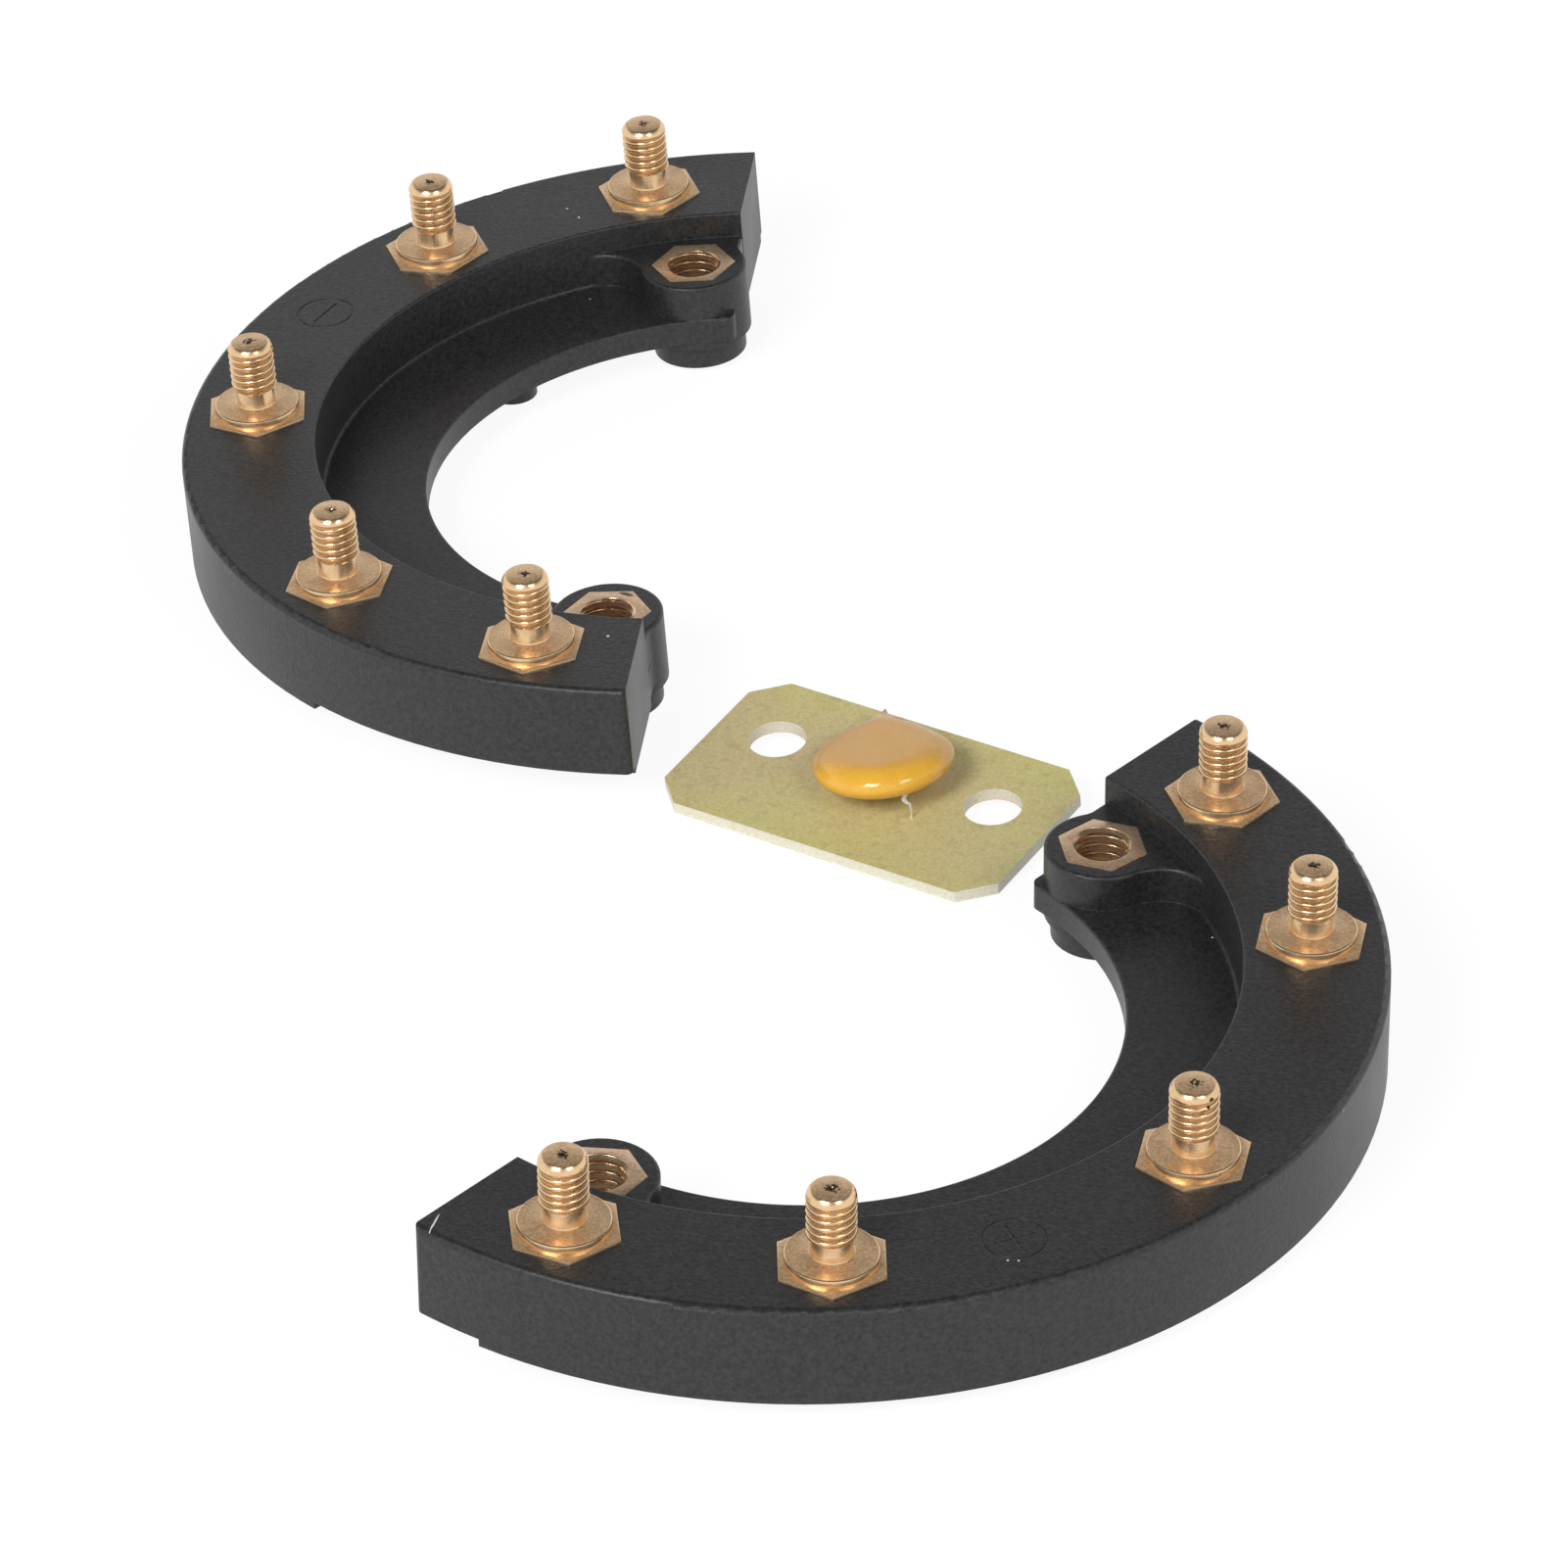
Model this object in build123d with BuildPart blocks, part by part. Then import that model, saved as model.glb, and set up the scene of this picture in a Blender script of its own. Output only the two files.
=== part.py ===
from build123d import *
import math
import os

# Rotating bridge rectifier of a brushless alternator's exciter: a plus half, a minus half and the
# surge suppressor that joins them, laid out loose on a bench. Millimetres, +Z up. The origin is the
# middle of the set's footprint on the surface it lies on.
os.makedirs("parts", exist_ok=True)

# Half ring moulding, measured from its own underside
ring_inner_r = 52.3
ring_width = 17.7
ring_height = 13.4
ledge_width = 13.9
ledge_top = 4.9
ledge_bottom = 1.3
end_offset = 2.3  # the end faces stand this far on the body's side of the ring's centre
end_corner_r = 0.9
ledge_corner_r = 1.2
outer_edge_r = 0.8
bore_edge_r = 0.3
ledge_edge_r = 0.4
root_r = 0.5

# Potting well under the ring
well_wall = 2.0
well_roof = 3.6
potting_level = 1.2

# Underside relief, cut from the outer rim near both ends
relief_depth = 1.0
relief_open = 1.0  # how far the cut runs out past the rim
long_relief_from = 49.0
short_relief_from = -80.5

# End bosses with their webs, the feet under the ledge on the bosses' circle, and the rib under the bore
boss_r = 7.2
boss_top = 9.75
boss_neck_r = 6.3
boss_drop = 3.15
boss_angle = 79.7
boss_edge_r = 0.5
boss_inset = 0.1
web_fillet_r = 6.0
web_end_fillet_r = 2.5
web_overlap = 1.0
web_bite = 0.05  # the concave fillets run this far into the ring
foot_r = 3.2
foot_angle = 45.0
rib_drop = 2.43
rib_reach = 68.0

# M8 threaded hexagon inserts
insert_across_flats = 10.0
insert_bore_r = 3.35
insert_mouth_r = 3.5
insert_edge = 0.15

# M6 terminal studs
stud_from_bore = 8.4
stud_angles = (-75.0, -45.0, 0.0, 45.0, 75.0)
hex_across_flats = 12.5
hex_proud = 0.25
shoulder_r = 5.6
shoulder_height = 1.1
shoulder_edge = 0.2
shank_r = 2.5
shank_height = 2.25
shank_root_r = 0.4
thread_r = 3.0
thread_height = 6.9
dome_height = 0.9
dome_flat_r = 2.4
dome_rise = 0.12
dimple_r = 0.6
dimple_depth = 0.3

# Inside each half: collector bar, diode dies and the straps to the phase studs
bar_width = 7.0
bar_level = 3.0
bar_thickness = 1.2
bar_end_gap = 5.6
die_size = 6.0
die_thickness = 0.6
die_turn = 12.0
strap_width = 5.0
strap_thickness = 0.8
strap_tail = 4.0
strap_nose = 3.0
spigot_r = 3.5

# Moulded polarity mark on the ring's top face
mark_angle = -24.8
mark_from_bore = 9.0
mark_r = 3.9
mark_line = 0.3
mark_bar = 5.4
mark_depth = 0.1

# Surge suppressor board, resting on its front edge and on the end of its rear lead
board_length = 49.5
board_width = 28.0
board_thickness = 1.6
board_corner = 4.0
board_hole_r = 3.75
board_hole_pitch = 32.1
board_hole_shift = 3.1
board_at = (13.95, -5.09)
board_turn = -33.8
board_tilt = 4.95
solder_height = 0.6
solder_r = 1.3
solder_tip = 0.15
track_thickness = 0.1
track_ring_r = 6.2
track_width = 2.4

# Disc varistor over the board, leaning a little two ways
varistor_r = 9.0
varistor_thickness = 4.6
varistor_gap = 1.85
varistor_at = (1.65, 0.88)
varistor_nod = -7.75
varistor_lean = -8.3
varistor_turn = 31.0
crown_r = 5.0  # the flat middle of each face; from there an elliptical rim runs out
tip_reach = 2.1
tip_rise = 1.0
tip_r = 0.45
tip_root_r = 1.4
lead_r = 0.4
lead_hole_gap = 0.1
lead_stub = 0.8
lead_places = ((-2.5, 5.0), (8.0, -3.3))

# Where each half lies: ring centre, and the direction from the centre to the middle of the half
plus_at = (4.19, -64.29)
plus_turn = 316.3
minus_at = (-4.05, 64.63)
minus_turn = 172.1

# How each stud's and insert's hexagon happens to be turned, from the lowest angle to the highest
plus_hex_turns = (18.0, 13.5, 1.0, 2.0, 30.0)
minus_hex_turns = (53.0, 54.5, 38.5, 25.5, 28.5)
plus_insert_turns = (36.0, 22.0)
minus_insert_turns = (4.5, 1.5)

# Sizes that follow from those above
ring_outer_r = ring_inner_r + ring_width
ledge_inner_r = ring_inner_r - ledge_width
boss_circle_r = ledge_inner_r + boss_inset + boss_r
boss_along = boss_circle_r * math.cos(math.radians(boss_angle))
boss_across = boss_circle_r * math.sin(math.radians(boss_angle))
stud_circle_r = ring_inner_r + stud_from_bore
well_top = ring_height - well_roof
bar_top = bar_level + bar_thickness
bar_inner_r = stud_circle_r - bar_width / 2
bar_end = end_offset + well_wall + bar_end_gap
bar_reach = math.degrees(math.acos(bar_end / bar_inner_r))
strap_level = bar_top + die_thickness
stud_foot = strap_level + strap_thickness
hex_top = ring_height + hex_proud
shoulder_top = hex_top + shoulder_height
thread_start = shoulder_top + shank_height
thread_end = thread_start + thread_height
board_rise = board_width / 2 * math.sin(math.radians(board_tilt))
varistor_level = board_thickness + varistor_gap + varistor_thickness / 2
foot_reach = boss_circle_r * math.cos(math.radians(foot_angle)) + foot_r
rib_outer_r = ring_inner_r + well_wall
lean = math.degrees(math.atan2(boss_drop - rib_drop, rib_outer_r - foot_reach))


def polar(radius, angle):
    """A point in a half's own plane, its angle counted from the middle of the half."""
    return (radius * math.cos(math.radians(angle)), radius * math.sin(math.radians(angle)))


def half_seat(centre, turn):
    """The underside plane of a half, leaning back on its two feet and the middle of its rib."""
    upright = Location((centre[0], centre[1], 0), (0, 0, turn))
    feet = upright * Location((foot_reach, 0, 0), (0, lean, 0))
    return Plane(feet * Location((-foot_reach, 0, boss_drop)))


def on_seat(seat, place, level, turn=0.0):
    """A plane parallel to the seat, at a place in it, raised to a level and turned."""
    return Plane(seat.location * Location((place[0], place[1], level), (0, 0, turn)))


def section_of(plane):
    """The plane through a part's axis: x is the radius and y the height."""
    return Plane(origin=plane.origin, x_dir=plane.x_dir, z_dir=-plane.y_dir)


def axis_of(plane):
    return Axis(plane.origin, plane.z_dir)


def save(part, name):
    part.label = name
    export_step(part, f"parts/{name}.step")


def arc_band(inner_r, outer_r, start, end):
    """A flat face between two radii and two angles."""
    with BuildSketch() as band:
        with BuildLine():
            CenterArc((0, 0), outer_r, start, end - start)
            CenterArc((0, 0), inner_r, start, end - start)
            Line(polar(inner_r, start), polar(outer_r, start))
            Line(polar(inner_r, end), polar(outer_r, end))
        make_face()
    return band.sketch


def web_face(side):
    """The boss's web to the ring's bore, with a concave fillet to the bore and one to the end face."""
    boss = Vector(boss_along, boss_across)
    reach = boss_r + web_fillet_r
    centre_r = ring_inner_r + web_bite - web_fillet_r
    cosine = (centre_r**2 + boss_circle_r**2 - reach**2) / (2 * centre_r * boss_circle_r)
    centre_angle = boss_angle - math.degrees(math.acos(cosine))
    centre = Vector(*polar(centre_r, centre_angle))
    on_boss = boss + (centre - boss) * (boss_r / reach)
    on_bore = Vector(*polar(ring_inner_r + web_bite, centre_angle))
    middle = centre + ((on_boss + on_bore) / 2 - centre).normalized() * web_fillet_r
    buried_r = ring_inner_r + web_overlap
    buried = Vector(*polar(buried_r, centre_angle))
    buried_middle = Vector(*polar(buried_r, boss_angle))
    corner = Vector(end_offset + web_bite, math.sqrt(buried_r**2 - (end_offset + web_bite) ** 2))
    end_reach = boss_r + web_end_fillet_r
    end_along = end_offset + web_bite - web_end_fillet_r
    end_centre = Vector(end_along, boss_across + math.sqrt(end_reach**2 - (boss_along - end_along) ** 2))
    on_end = Vector(end_offset + web_bite, end_centre.Y)
    boss_end = boss + (end_centre - boss) * (boss_r / end_reach)
    end_middle = end_centre + ((on_end + boss_end) / 2 - end_centre).normalized() * web_end_fillet_r
    with BuildSketch() as web:
        with BuildLine():
            Line(boss, on_boss)
            ThreePointArc(on_boss, middle, on_bore)
            Line(on_bore, buried)
            ThreePointArc(buried, buried_middle, corner)
            Line(corner, on_end)
            ThreePointArc(on_end, end_middle, boss_end)
            Line(boss_end, boss)
        make_face()
        if side < 0:
            mirror(about=Plane.XZ, mode=Mode.REPLACE)
    return web.sketch


def make_boss_head(seat, side):
    """The boss with its web and its neck, the top edge rounded outside the ring."""
    place = (boss_along, side * boss_across)
    with BuildPart() as head:
        with BuildSketch(seat.offset(ledge_bottom)):
            with Locations(place):
                Circle(boss_r)
            add(web_face(side))
        extrude(amount=boss_top - ledge_bottom)
        with BuildSketch(seat):
            with Locations(place):
                Circle(boss_r)
        extrude(amount=ledge_bottom)
        with BuildSketch(seat.offset(-boss_drop)):
            with Locations(place):
                Circle(boss_neck_r)
        extrude(amount=boss_drop + ledge_bottom)
        top = head.faces().sort_by(axis_of(seat))[-1]
        middle = on_seat(seat, (0, 0), boss_top).origin
        outside = top.edges().filter_by(lambda edge: (edge @ 0.5 - middle).length < ring_inner_r)
        fillet(outside.filter_by(lambda edge: edge.length > web_overlap * 1.001), boss_edge_r)
    return head.part


def make_well(seat, level):
    """The open-bottomed well under the ring, from a level up to its roof."""
    inner_r = ring_inner_r + well_wall
    outer_r = ring_outer_r - well_wall
    with BuildPart() as well:
        with BuildSketch(section_of(seat)):
            with BuildLine():
                Polyline(
                    (inner_r, level),
                    (outer_r, level),
                    (outer_r, well_top),
                    (inner_r, well_top),
                    close=True,
                )
            make_face()
        revolve(axis=axis_of(seat))
        inner_end = on_seat(seat, (end_offset + well_wall, 0), 0)
        split(bisect_by=Plane(origin=inner_end.origin, z_dir=seat.x_dir), keep=Keep.TOP)
    return well.part


def mark_face(positive):
    """A minus in a circle, or a plus in a circle, its first bar along the ring."""
    with BuildSketch() as mark:
        Circle(mark_r)
        Circle(mark_r - mark_line, mode=Mode.SUBTRACT)
        Rectangle(mark_line, mark_bar)
        if positive:
            Rectangle(mark_bar, mark_line)
    return mark.sketch


def plan_face():
    """The half ring seen from above, its upright corners rounded."""
    with BuildSketch() as plan:
        Circle(ring_outer_r)
        Circle(ledge_inner_r, mode=Mode.SUBTRACT)
        with Locations((end_offset, 0)):
            Rectangle(ring_outer_r, 2 * ring_outer_r, align=(Align.MIN, Align.CENTER), mode=Mode.INTERSECT)
        for side in (-1, 1):
            for radius, size in ((ring_outer_r, end_corner_r), (ledge_inner_r, ledge_corner_r)):
                corner = (end_offset, side * math.sqrt(radius**2 - end_offset**2), 0)
                fillet(plan.vertices().sort_by_distance(corner)[0], size)
    return plan.sketch


def make_housing(seat, positive, hex_turns, insert_turns):
    """The moulded half ring: ring, ledge, end bosses, feet, well, pockets and polarity mark."""
    boss_places = [(boss_along, side * boss_across) for side in (-1, 1)]
    with BuildPart() as housing:
        with BuildSketch(section_of(seat)):
            with BuildLine():
                Polyline(
                    (ledge_inner_r, ledge_bottom),
                    (ledge_inner_r, ledge_top),
                    (ring_inner_r, ledge_top),
                    (ring_inner_r, ring_height),
                    (ring_outer_r, ring_height),
                    (ring_outer_r, 0),
                    (ring_inner_r, 0),
                    (ring_inner_r, ledge_bottom),
                    close=True,
                )
            make_face()
            for radius, level, size in (
                (ledge_inner_r, ledge_top, ledge_edge_r),
                (ring_inner_r, ledge_top, root_r),
                (ring_inner_r, ring_height, bore_edge_r),
                (ring_outer_r, ring_height, outer_edge_r),
            ):
                fillet(vertices().sort_by_distance((radius, level, 0))[0], size)
        revolve(axis=axis_of(seat))
        with BuildSketch(seat):
            add(plan_face())
        extrude(amount=ring_height, mode=Mode.INTERSECT)
        for side in (-1, 1):
            add(make_boss_head(seat, side))
        with BuildSketch(seat.offset(-boss_drop)):
            with Locations(polar(boss_circle_r, -foot_angle), polar(boss_circle_r, foot_angle)):
                Circle(foot_r)
        extrude(amount=boss_drop + ledge_top)
        with BuildSketch(seat.offset(-rib_drop)):
            add(arc_band(ring_inner_r, rib_outer_r, -rib_reach, rib_reach))
        extrude(amount=rib_drop + ledge_bottom)
        add(make_well(seat, 0), mode=Mode.SUBTRACT)
        with BuildSketch(seat):
            add(arc_band(ring_outer_r - well_wall, ring_outer_r + relief_open, -90, short_relief_from))
            add(arc_band(ring_outer_r - well_wall, ring_outer_r + relief_open, long_relief_from, 90))
        extrude(amount=relief_depth, mode=Mode.SUBTRACT)
        with BuildSketch(seat.offset(stud_foot)):
            for angle, turn in zip(stud_angles, hex_turns):
                with Locations(polar(stud_circle_r, angle)):
                    RegularPolygon(hex_across_flats / 2, 6, major_radius=False, rotation=turn)
        extrude(amount=ring_height - stud_foot, mode=Mode.SUBTRACT)
        with BuildSketch(seat.offset(-boss_drop)):
            for place, turn in zip(boss_places, insert_turns):
                with Locations(place):
                    RegularPolygon(insert_across_flats / 2, 6, major_radius=False, rotation=turn)
        extrude(amount=boss_drop + boss_top, mode=Mode.SUBTRACT)
        mark_at = polar(ring_inner_r + mark_from_bore, mark_angle)
        with BuildSketch(on_seat(seat, mark_at, ring_height, mark_angle)):
            add(mark_face(positive))
        extrude(amount=-mark_depth, mode=Mode.SUBTRACT)
    return housing.part


def make_bar(seat):
    """The flat collector bar that one side of every diode is soldered to."""
    with BuildPart() as bar:
        with BuildSketch(seat.offset(bar_level)):
            add(arc_band(bar_inner_r, bar_inner_r + bar_width, -bar_reach, bar_reach))
        extrude(amount=bar_thickness)
    return bar.part


def make_die(seat, angle):
    """A square diode die on the bar, beside its phase stud."""
    place = polar(stud_circle_r, angle + die_turn)
    with BuildPart() as die:
        with BuildSketch(on_seat(seat, place, bar_top, angle + die_turn)):
            Rectangle(die_size, die_size)
        extrude(amount=die_thickness)
    return die.part


def make_strap(seat, angle):
    """The flat strap from a die's top to the foot of its phase stud."""
    half = strap_width / 2
    start = angle - strap_tail
    end = angle + die_turn + strap_nose
    with BuildPart() as strap:
        with BuildSketch(seat.offset(strap_level)):
            add(arc_band(stud_circle_r - half, stud_circle_r + half, start, end))
        extrude(amount=strap_thickness)
    return strap.part


def make_stud(seat, angle, turn, on_bar):
    """A terminal stud: hexagon body, shoulder, plain neck, threaded end; the end studs reach the bar."""
    foot = on_seat(seat, polar(stud_circle_r, angle), 0)
    with BuildPart() as stud:
        with BuildSketch(foot.offset(stud_foot)):
            RegularPolygon(hex_across_flats / 2, 6, major_radius=False, rotation=turn)
        extrude(amount=hex_top - stud_foot)
        with BuildSketch(section_of(foot)):
            with BuildLine():
                Polyline(
                    (0, hex_top),
                    (shoulder_r, hex_top),
                    (shoulder_r, shoulder_top - shoulder_edge),
                    (shoulder_r - shoulder_edge, shoulder_top),
                    (shank_r, shoulder_top),
                    (shank_r, thread_start),
                    (thread_r, thread_start),
                    (thread_r, thread_end - dome_height),
                    (dome_flat_r, thread_end - dome_rise),
                    (dimple_r, thread_end),
                    (0, thread_end - dimple_depth),
                    close=True,
                )
            make_face()
            fillet(vertices().sort_by_distance((shank_r, shoulder_top, 0))[0], shank_root_r)
        revolve(axis=axis_of(foot))
        if on_bar:
            with BuildSketch(foot.offset(bar_top)):
                Circle(spigot_r)
            extrude(amount=stud_foot - bar_top)
    return stud.part


def make_insert(seat, side, turn):
    """An M8 hexagon insert as tall as its boss, its bore open at both ends."""
    foot = on_seat(seat, (boss_along, side * boss_across), 0)
    mouth = insert_mouth_r - insert_bore_r
    with BuildPart() as insert:
        with BuildSketch(foot.offset(-boss_drop)):
            RegularPolygon(insert_across_flats / 2, 6, major_radius=False, rotation=turn)
        extrude(amount=boss_drop + boss_top)
        chamfer(insert.faces().sort_by(axis_of(foot))[-1].edges(), insert_edge)
        with BuildSketch(section_of(foot)):
            with BuildLine():
                Polyline(
                    (0, -boss_drop),
                    (insert_mouth_r, -boss_drop),
                    (insert_bore_r, mouth - boss_drop),
                    (insert_bore_r, boss_top - mouth),
                    (insert_mouth_r, boss_top),
                    (0, boss_top),
                    close=True,
                )
            make_face()
        revolve(axis=axis_of(foot), mode=Mode.SUBTRACT)
    return insert.part


def make_potting(seat, buried):
    """The casting resin that fills the well round everything buried in it."""
    with BuildPart() as potting:
        add(make_well(seat, potting_level))
        for piece in buried:
            add(piece, mode=Mode.SUBTRACT)
    return potting.part


for sign, centre, turn, hex_turns, insert_turns in (
    ("plus", plus_at, plus_turn, plus_hex_turns, plus_insert_turns),
    ("minus", minus_at, minus_turn, minus_hex_turns, minus_insert_turns),
):
    seat = half_seat(centre, turn)
    save(make_housing(seat, sign == "plus", hex_turns, insert_turns), f"{sign}_housing")
    bar = make_bar(seat)
    save(bar, f"{sign}_collector_bar")
    buried = [bar]
    for number, angle in enumerate(stud_angles, 1):
        at_end = number in (1, len(stud_angles))
        stud = make_stud(seat, angle, hex_turns[number - 1], at_end)
        save(stud, f"{sign}_stud_{number}")
        buried.append(stud)
        if not at_end:
            die = make_die(seat, angle)
            strap = make_strap(seat, angle)
            save(die, f"{sign}_die_{number - 1}")
            save(strap, f"{sign}_strap_{number - 1}")
            buried += [die, strap]
    save(make_potting(seat, buried), f"{sign}_potting")
    for number, side in enumerate((-1, 1), 1):
        save(make_insert(seat, side, insert_turns[number - 1]), f"{sign}_insert_{number}")


def reach_to(start, target):
    """How far along its own upright a plane meets another plane."""
    return (target.origin - start.origin).dot(target.z_dir) / start.z_dir.dot(target.z_dir)


# Surge suppressor: glass-epoxy board with a disc varistor lying flat over it
board_rest = Location((board_at[0], board_at[1], board_rise), (0, 0, board_turn))
underside = Plane(board_rest * Location((0, 0, 0), (board_tilt, 0, 0)))
disc_place = (varistor_at[0], varistor_at[1], varistor_level)
disc_turns = (varistor_nod, varistor_lean, varistor_turn)
disc_middle = Plane(underside.location * Location(disc_place, disc_turns))
hole_places = [(side * board_hole_pitch / 2, board_hole_shift) for side in (-1, 1)]
lead_feet = [on_seat(underside, place, 0) for place in lead_places]
lead_tops = [reach_to(foot, disc_middle) for foot in lead_feet]
bench_stub = -reach_to(lead_feet[0], Plane.XY) - lead_r * math.tan(math.radians(board_tilt))

with BuildPart() as suppressor_board:
    with BuildSketch(underside):
        Rectangle(board_length, board_width)
        chamfer(vertices(), board_corner)
        with Locations(hole_places):
            Circle(board_hole_r, mode=Mode.SUBTRACT)
        with Locations(lead_places):
            Circle(lead_r + lead_hole_gap, mode=Mode.SUBTRACT)
    extrude(amount=board_thickness)
save(suppressor_board.part, "suppressor_board")

half_thick = varistor_thickness / 2
with BuildPart() as varistor:
    with BuildSketch(section_of(disc_middle)):
        with Locations((crown_r, 0)):
            Ellipse(varistor_r - crown_r, half_thick)
        Rectangle(crown_r, varistor_thickness, align=(Align.MIN, Align.CENTER))
        Rectangle(varistor_r, varistor_thickness, align=(Align.MIN, Align.CENTER), mode=Mode.INTERSECT)
    revolve(axis=axis_of(disc_middle))
    # the drip that the dipped coat ran to
    rim = on_seat(disc_middle, (0, varistor_r - tip_root_r), 0)
    outward = Plane(origin=rim.origin, x_dir=rim.x_dir, z_dir=rim.y_dir)
    with BuildSketch(outward):
        Circle(tip_root_r)
    with BuildSketch(outward.offset(tip_root_r + tip_reach)):
        with Locations((0, -tip_rise)):
            Circle(tip_r)
    loft()
    for foot, top in zip(lead_feet, lead_tops):
        with BuildSketch(foot):
            Circle(lead_r)
        extrude(amount=top, mode=Mode.SUBTRACT)
save(varistor.part, "varistor")

for number, (foot, top, stub, hole) in enumerate(
    zip(lead_feet, lead_tops, (bench_stub, lead_stub), hole_places), 1
):
    with BuildPart() as lead:
        with BuildSketch(foot.offset(-stub)):
            Circle(lead_r)
        extrude(amount=stub + top)
    save(lead.part, f"varistor_lead_{number}")

    # the track under the board: a ring round the hole, a strip, and the pad round the lead
    pad = lead_places[number - 1]
    strip = Vector(*hole) - Vector(*pad)
    middle = (Vector(*hole) + Vector(*pad)) / 2
    with BuildPart() as track:
        with BuildSketch(underside):
            with Locations(hole):
                Circle(track_ring_r)
            with Locations(pad):
                Circle(solder_r)
            with Locations((middle.X, middle.Y)):
                Rectangle(strip.length, track_width, rotation=math.degrees(math.atan2(strip.Y, strip.X)))
            with Locations(hole):
                Circle(board_hole_r, mode=Mode.SUBTRACT)
            with Locations(pad):
                Circle(lead_r + lead_hole_gap, mode=Mode.SUBTRACT)
        extrude(amount=-track_thickness)
    save(track.part, f"copper_track_{number}")

    with BuildPart() as solder:
        with BuildSketch(foot.offset(-track_thickness - solder_height)):
            Circle(lead_r + solder_tip)
        with BuildSketch(foot.offset(-track_thickness)):
            Circle(solder_r)
        loft()
        with BuildSketch(foot.offset(-track_thickness - solder_height)):
            Circle(lead_r)
        extrude(amount=solder_height, mode=Mode.SUBTRACT)
    save(solder.part, f"solder_joint_{number}")
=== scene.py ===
import bmesh
import bpy
import math
from mathutils import Matrix, Vector


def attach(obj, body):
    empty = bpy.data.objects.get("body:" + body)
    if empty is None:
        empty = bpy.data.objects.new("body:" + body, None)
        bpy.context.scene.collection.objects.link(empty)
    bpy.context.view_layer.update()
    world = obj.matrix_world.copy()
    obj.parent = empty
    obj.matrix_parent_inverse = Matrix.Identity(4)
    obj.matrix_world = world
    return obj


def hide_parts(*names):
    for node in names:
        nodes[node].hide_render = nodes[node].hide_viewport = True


# Rotating bridge rectifier: two moulded half rings with brass terminal studs and threaded
# inserts, and the suppressor board with its disc varistor. Metres; sizes are written in mm.

MM = 0.001

# Terminal studs: heights over the half's underside plane
HEX_FLATS = 12.5
HEX_EASE = 0.08
STUD_FOOT = 5.6
HEX_TOP = 13.65
SHOULDER_R = 5.6
SHOULDER_TOP = 14.75
SHANK_R = 2.5
THREAD_START = 17.0
STUD_END = 23.9
STUD_ANGLES = (-75.0, -45.0, 0.0, 45.0, 75.0)
STUD_CIRCLE = 60.7
BAR_TOP = 4.2
SPIGOT_R = 3.5

# End bosses and their threaded inserts
BOSS_TOP = 9.75
BOSS_DROP = 3.15
BOSS_CIRCLE = 45.7
BOSS_ANGLE = 79.7
INSERT_FLATS = 10.0
INSERT_EASE = 0.1
INSERT_BORE = 3.35
INSERT_MOUTH = 3.5

# Threads: radii, pitch, and the ridge's width at its foot and crest. A ridge starts RIDGE_BURY
# inside the core; RIDGE_SHIFT keeps its ends off the core's own points.
STUD_THREAD_R = 3.0
STUD_ROOT_R = 2.46
STUD_PITCH = 1.02
STUD_RIDGE_FOOT = 0.94
STUD_RIDGE_CREST = 0.40
RIDGE_BURY = 0.16
RIDGE_SHIFT = 0.013
INSERT_THREAD_R = 3.95
INSERT_PITCH = 1.25
INSERT_RIDGE_FOOT = 1.12
INSERT_RIDGE_CREST = 0.18
INSERT_RIDGE_BURY = 0.2
CREST_ROUND = 0.4
TURN_STEPS = 48
THREADED_POINTS = 3000

# Outline of a stud. The shoulder and the spigot reach into the hexagon by their sinks. In the round
# stretches each point is given by how far it lies off a radius and off a level. The blank is what
# the thread's ridge is trimmed to: (radius, height).
SHOULDER_SINK = 0.6
SPIGOT_SINK = 0.3
SHOULDER_EASE = ((0, 0.22), (0.06, 0.08), (0.2, 0))
NECK_FILLET = ((0.4, 0), (0.12, 0.12), (0, 0.4))
RUN_OUT = 0.15
DOME_START = 1.3
END_DOME = ((0.04, 0.86), (0.1, 0.66), (0.24, 0.4), (0.44, 0.16), (0.56, 0.05), (0.66, 0.01))
CENTRE_PIT = ((0.34, 0), (0.24, 0.16), (0.08, 0.26))
RIDGE_END = 0.6
STUD_BLANK = (
    (STUD_ROOT_R - 0.3, THREAD_START - 0.1),
    (STUD_ROOT_R, THREAD_START),
    (STUD_THREAD_R + 0.02, THREAD_START + 0.5),
    (STUD_THREAD_R + 0.02, STUD_END - 1.0),
    (STUD_THREAD_R - 0.12, STUD_END - 0.65),
)

# Where the halves lie: the rib stands higher than the end feet, so a half leans towards its closed
# side by the angle between them. Each half has its centre, its turn, and the turns of its studs' and
# inserts' hexagons.
RIB_RISE = 0.72
RIB_RUN = 18.785
LEAN = math.atan2(RIB_RISE, RIB_RUN)
FOOT_REACH = 35.515
HALVES = {
    "plus": ((4.19, -64.29), 316.3, (18.0, 13.5, 1.0, 2.0, 30.0), (36.0, 22.0)),
    "minus": ((-4.05, 64.63), 172.1, (53.0, 54.5, 38.5, 25.5, 28.5), (4.5, 1.5)),
}

# Board and varistor: the board's place and tilt, and the disc's place and lean over its underside plane
BOARD_AT = (13.95, -5.09, 1.208)
BOARD_TURN = -33.8
BOARD_TILT = 4.95
BOARD_THICK = 1.6
BOARD_WIDTH = 28.0
VARISTOR_AT = (1.65, 0.88, 5.75)
VARISTOR_TURNS = (-7.75, -8.3, 31.0)
VARISTOR_R = 9.0
VARISTOR_HALF = 2.3
CROWN_R = 5.0
LEAD_R = 0.4
LEAD_PLACE = (8.0, -3.3)
LEAD_STUB = 0.8

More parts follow.
